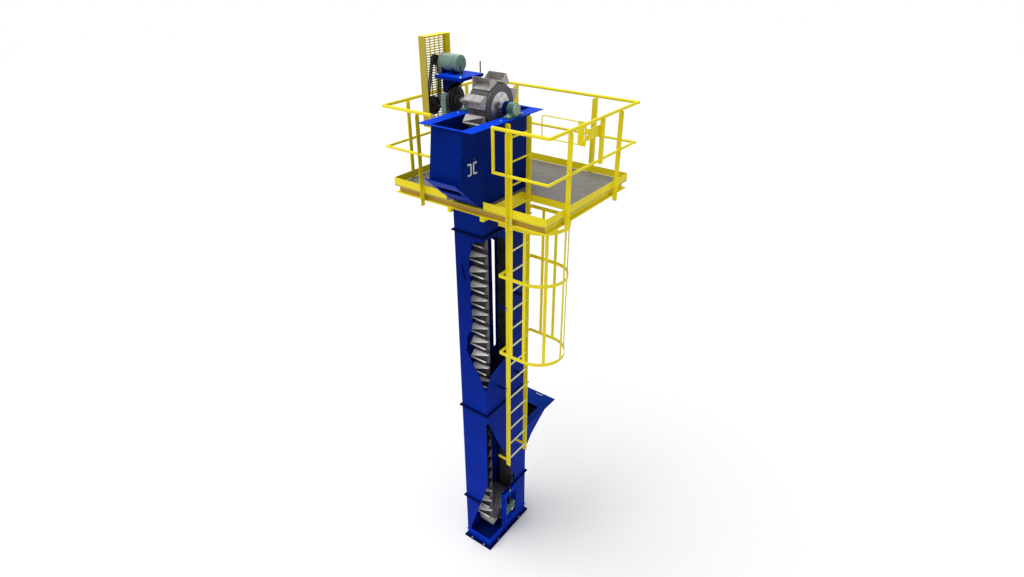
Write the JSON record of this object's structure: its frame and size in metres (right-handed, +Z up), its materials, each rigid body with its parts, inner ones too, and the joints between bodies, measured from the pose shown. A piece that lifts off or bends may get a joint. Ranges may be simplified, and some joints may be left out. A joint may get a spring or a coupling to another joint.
{
  "type": "bucket elevator",
  "caption": "Bucket elevator with cut-open casing, belt of steel buckets, open head with drive, service platform with handrail, caged ladder, inlet hopper and boot with take-up.",
  "frame": {"origin": "centre of the base plate's underside", "axes": "+Z up, +X along the head shaft towards the ladder, -Y towards the discharge, +Y towards the inlet"},
  "size_m": [2.5926, 2.5223, 8.163],
  "materials": {
    "blue_paint": "gloss paint",
    "yellow_paint": "satin paint",
    "machine_green": "machine enamel",
    "bare_steel": "pressed sheet",
    "dark_iron": "dark",
    "belt_rubber": "matt",
    "deck_plate": "dull plate"
  },
  "bodies": {
    "root": {"base_plate": "blue_paint", "boot_casing": "blue_paint", "lower_leg_casing": "blue_paint", "upper_leg_casing": "blue_paint", "head_casing": "blue_paint", "outlet_frame": "blue_paint", "inspection_cover": "blue_paint", "inlet_hopper": "blue_paint", "inlet_flange": "blue_paint", "take_up_frame_right": "blue_paint", "take_up_frame_left": "blue_paint", "motor_plate": "blue_paint", "motor_stand": "blue_paint", "drive_seat": "blue_paint", "belt_guard": "yellow_paint", "platform_frame": "yellow_paint", "opening_trimmer": "yellow_paint", "deck_joist_1": "yellow_paint", "deck_joist_2": "yellow_paint", "support_beam_left": "yellow_paint", "support_beam_right": "yellow_paint", "toe_board": "yellow_paint", "handrail_left": "yellow_paint", "handrail_right": "yellow_paint", "handrail_back": "yellow_paint", "gate_bracket": "yellow_paint", "ladder": "yellow_paint", "ladder_cage": "yellow_paint", "head_bearing_left": "machine_green", "head_bearing_right": "machine_green", "tail_bearing_left": "machine_green", "tail_bearing_right": "machine_green", "gear_reducer": "machine_green", "motor": "machine_green", "bucket_belt": "bare_steel", "take_up_screw_left": "bare_steel", "take_up_screw_right": "bare_steel", "v_belts": "belt_rubber", "deck": "deck_plate"},
    "head_rotor": {"head_pulley": "bare_steel", "head_shaft": "bare_steel", "shaft_coupling": "dark_iron"},
    "tail_rotor": {"tail_pulley": "bare_steel", "tail_shaft": "bare_steel"},
    "driven_sheave": {"driven_sheave": "dark_iron"},
    "motor_sheave": {"motor_sheave": "dark_iron"},
    "gate": {"access_gate": "yellow_paint"}
  },
  "joints": [
    {"name": "head_shaft_turn", "type": "hinge", "parent": "root", "child": "head_rotor", "pos_m": [0, 0, 7.415], "axis": [1, 0, 0], "continuous": true},
    {"name": "tail_shaft_turn", "type": "hinge", "parent": "root", "child": "tail_rotor", "pos_m": [0, 0, 0.56], "axis": [1, 0, 0], "continuous": true},
    {"name": "driven_sheave_turn", "type": "hinge", "parent": "root", "child": "driven_sheave", "pos_m": [-0.88, -0.085, 7.31], "axis": [1, 0, 0], "continuous": true},
    {"name": "motor_sheave_turn", "type": "hinge", "parent": "root", "child": "motor_sheave", "pos_m": [-0.88, 0, 7.857], "axis": [1, 0, 0], "continuous": true},
    {"name": "gate_swing", "type": "hinge", "parent": "root", "child": "gate", "pos_m": [1.19, 0.285, 7.1825], "axis": [0, 0, -1], "range_deg": [0, 90]}
  ],
  "couplings": [
    {"joint": "tail_shaft_turn", "follows": "head_shaft_turn", "ratio": 1},
    {"joint": "driven_sheave_turn", "follows": "head_shaft_turn", "ratio": 15},
    {"joint": "motor_sheave_turn", "follows": "head_shaft_turn", "ratio": 26.25}
  ]
}
